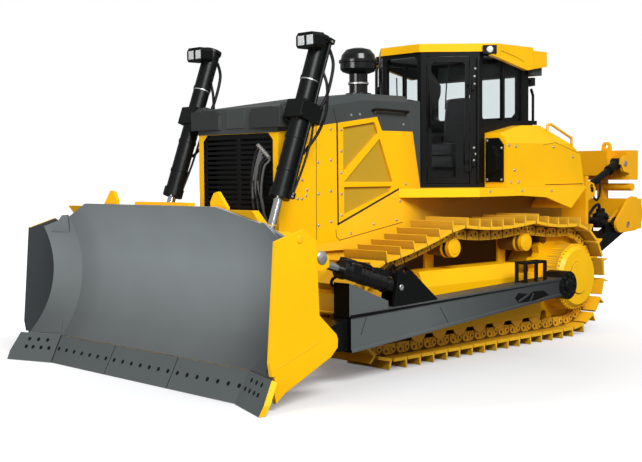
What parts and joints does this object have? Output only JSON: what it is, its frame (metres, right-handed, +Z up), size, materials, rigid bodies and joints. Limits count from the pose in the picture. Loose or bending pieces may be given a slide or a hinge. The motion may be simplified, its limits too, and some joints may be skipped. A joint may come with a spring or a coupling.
{
  "type": "track bulldozer",
  "caption": "Yellow track bulldozer with a grey semi-U blade on push arms, glazed cab and a raised rear ripper",
  "frame": {"origin": "middle of the machine's length and width, on the ground under the tracks", "axes": "+X forward to the blade, +Y to the machine's left, +Z up"},
  "size_m": [7.8964, 4.3296, 3.536],
  "materials": {
    "yellow_paint": "gloss",
    "dark_grey_paint": "satin",
    "black_paint": "satin",
    "worn_steel": "satin",
    "blade_grey": "satin",
    "chrome_rod": "gloss",
    "track_paint": "satin",
    "mesh_steel": "matte",
    "clear_glass": "gloss",
    "seat_fabric": "matte",
    "grey_plastic": "matte"
  },
  "bodies": {
    "chassis": {"main_frame": "yellow_paint", "radiator_guard": "yellow_paint", "engine_panels": "yellow_paint", "cab_roof": "yellow_paint", "fender_platforms": "yellow_paint", "side_tank_left": "yellow_paint", "side_tank_right": "yellow_paint", "rear_tank": "yellow_paint", "track_frames": "yellow_paint", "final_drives": "yellow_paint", "ripper_mount": "yellow_paint", "engine_block": "dark_grey_paint", "nose_crossbar": "dark_grey_paint", "hood_top": "dark_grey_paint", "rear_cowl": "dark_grey_paint", "roof_unit": "dark_grey_paint", "frame_crossbars": "dark_grey_paint", "front_grille": "black_paint", "intake_stack": "black_paint", "cab_frame": "black_paint", "work_lamps": "black_paint", "door_stops": "black_paint", "track_left": "track_paint", "track_right": "track_paint", "track_rollers": "track_paint", "idlers": "track_paint", "panel_meshes": "mesh_steel", "cab_glass": "clear_glass", "operator_seat": "seat_fabric", "control_console": "grey_plastic"},
    "push_arms": {"push_arm_left": "dark_grey_paint", "push_arm_right": "dark_grey_paint"},
    "blade": {"blade_board": "blade_grey", "blade_back": "yellow_paint", "cutting_edges": "worn_steel"},
    "lift_barrel_l": {"lift_barrel_left": "black_paint"},
    "lift_barrel_r": {"lift_barrel_right": "black_paint"},
    "lift_rod_l": {"lift_rod_left": "chrome_rod"},
    "lift_rod_r": {"lift_rod_right": "chrome_rod"},
    "tilt_barrel_l": {"tilt_barrel_left": "black_paint"},
    "tilt_barrel_r": {"tilt_barrel_right": "black_paint"},
    "tilt_rod_l": {"tilt_rod_left": "chrome_rod"},
    "tilt_rod_r": {"tilt_rod_right": "chrome_rod"},
    "left_door": {"door_left": "black_paint", "door_glass_left": "clear_glass"},
    "right_door": {"door_right": "black_paint", "door_glass_right": "clear_glass"},
    "ripper_link_frame": {"ripper_links": "black_paint"},
    "ripper_tool": {"ripper_beam": "yellow_paint", "lifting_eyes": "yellow_paint", "ripper_shank": "worn_steel"},
    "ripper_upper_links": {"ripper_tilt_cylinders": "black_paint"},
    "ripper_barrels": {"ripper_lift_barrels": "black_paint"},
    "ripper_rods": {"ripper_lift_rods": "chrome_rod"}
  },
  "joints": [
    {"name": "blade_lift", "type": "hinge", "parent": "chassis", "child": "push_arms", "pos_m": [-1.13169, 0, 0.7], "axis": [0, -1, 0], "range_deg": [-6.5, 13.5]},
    {"name": "blade_pitch", "type": "hinge", "parent": "push_arms", "child": "blade", "pos_m": [2.82831, 0, 0.45], "axis": [0, 1, 0], "range_deg": [-5, 8]},
    {"name": "door_left_swing", "type": "hinge", "parent": "chassis", "child": "left_door", "pos_m": [-0.55406, 0.75403, 2.6], "axis": [0, 0, 1], "range_deg": [0, 115]},
    {"name": "door_right_swing", "type": "hinge", "parent": "chassis", "child": "right_door", "pos_m": [-0.55406, -0.75403, 2.6], "axis": [0, 0, -1], "range_deg": [0, 115]},
    {"name": "ripper_lift", "type": "hinge", "parent": "chassis", "child": "ripper_link_frame", "pos_m": [-2.78169, 0, 0.95], "axis": [0, 1, 0], "range_deg": [-55, 0]},
    {"name": "ripper_carry", "type": "hinge", "parent": "ripper_link_frame", "child": "ripper_tool", "pos_m": [-3.58169, 0, 1.29], "axis": [0, 1, 0], "range_deg": [-0.3, 55.3]},
    {"name": "ripper_upper_swing", "type": "hinge", "parent": "chassis", "child": "ripper_upper_links", "pos_m": [-2.73169, 0, 1.78], "axis": [0, 1, 0], "range_deg": [-55.3, 0.3]},
    {"name": "ripper_barrel_swing", "type": "hinge", "parent": "chassis", "child": "ripper_barrels", "pos_m": [-2.72169, 0, 1.82], "axis": [0, 1, 0], "range_deg": [-20.93, 0.3]},
    {"name": "ripper_rod_slide", "type": "slide", "parent": "ripper_barrels", "child": "ripper_rods", "axis": [-0.7882, 0, -0.6154], "range_m": [-0.004, 0.546]},
    {"name": "lift_barrel_swing_l", "type": "hinge", "parent": "chassis", "child": "lift_barrel_l", "pos_m": [2.27631, 0.88, 2.64], "axis": [0, -1, 0], "range_deg": [-5.25, 10.57]},
    {"name": "lift_rod_slide_l", "type": "slide", "parent": "lift_barrel_l", "child": "lift_rod_l", "axis": [0.3403, 0, -0.9403], "range_m": [-0.9207, 0.4454]},
    {"name": "tilt_barrel_swing_l", "type": "hinge", "parent": "push_arms", "child": "tilt_barrel_l", "pos_m": [1.70831, 1.605, 0.886], "axis": [0, 1, 0], "range_deg": [-1.12, 1.61]},
    {"name": "tilt_rod_slide_l", "type": "slide", "parent": "tilt_barrel_l", "child": "tilt_rod_l", "axis": [0.9588, 0, 0.2841], "range_m": [-0.0677, 0.106]},
    {"name": "lift_barrel_swing_r", "type": "hinge", "parent": "chassis", "child": "lift_barrel_r", "pos_m": [2.27631, -0.88, 2.64], "axis": [0, -1, 0], "range_deg": [-5.25, 10.57]},
    {"name": "lift_rod_slide_r", "type": "slide", "parent": "lift_barrel_r", "child": "lift_rod_r", "axis": [0.3403, 0, -0.9403], "range_m": [-0.9207, 0.4454]},
    {"name": "tilt_barrel_swing_r", "type": "hinge", "parent": "push_arms", "child": "tilt_barrel_r", "pos_m": [1.70831, -1.605, 0.886], "axis": [0, 1, 0], "range_deg": [-1.12, 1.61]},
    {"name": "tilt_rod_slide_r", "type": "slide", "parent": "tilt_barrel_r", "child": "tilt_rod_r", "axis": [0.9588, 0, 0.2841], "range_m": [-0.0677, 0.106]}
  ],
  "couplings": [
    {"joint": "ripper_carry", "follows": "ripper_lift", "ratio": -1},
    {"joint": "ripper_upper_swing", "follows": "ripper_lift", "ratio": 1},
    {"joint": "ripper_barrel_swing", "follows": "ripper_lift", "ratio": 0.3751},
    {"joint": "ripper_rod_slide", "follows": "ripper_lift", "m_per_rad": -0.5646},
    {"joint": "lift_barrel_swing_l", "follows": "blade_lift", "ratio": 0.7609},
    {"joint": "lift_rod_slide_l", "follows": "blade_lift", "m_per_rad": -3.8906},
    {"joint": "tilt_barrel_swing_l", "follows": "blade_pitch", "ratio": 0.1636},
    {"joint": "tilt_rod_slide_l", "follows": "blade_pitch", "m_per_rad": 0.7303},
    {"joint": "lift_barrel_swing_r", "follows": "blade_lift", "ratio": 0.7609},
    {"joint": "lift_rod_slide_r", "follows": "blade_lift", "m_per_rad": -3.8906},
    {"joint": "tilt_barrel_swing_r", "follows": "blade_pitch", "ratio": 0.1636},
    {"joint": "tilt_rod_slide_r", "follows": "blade_pitch", "m_per_rad": 0.7303}
  ]
}
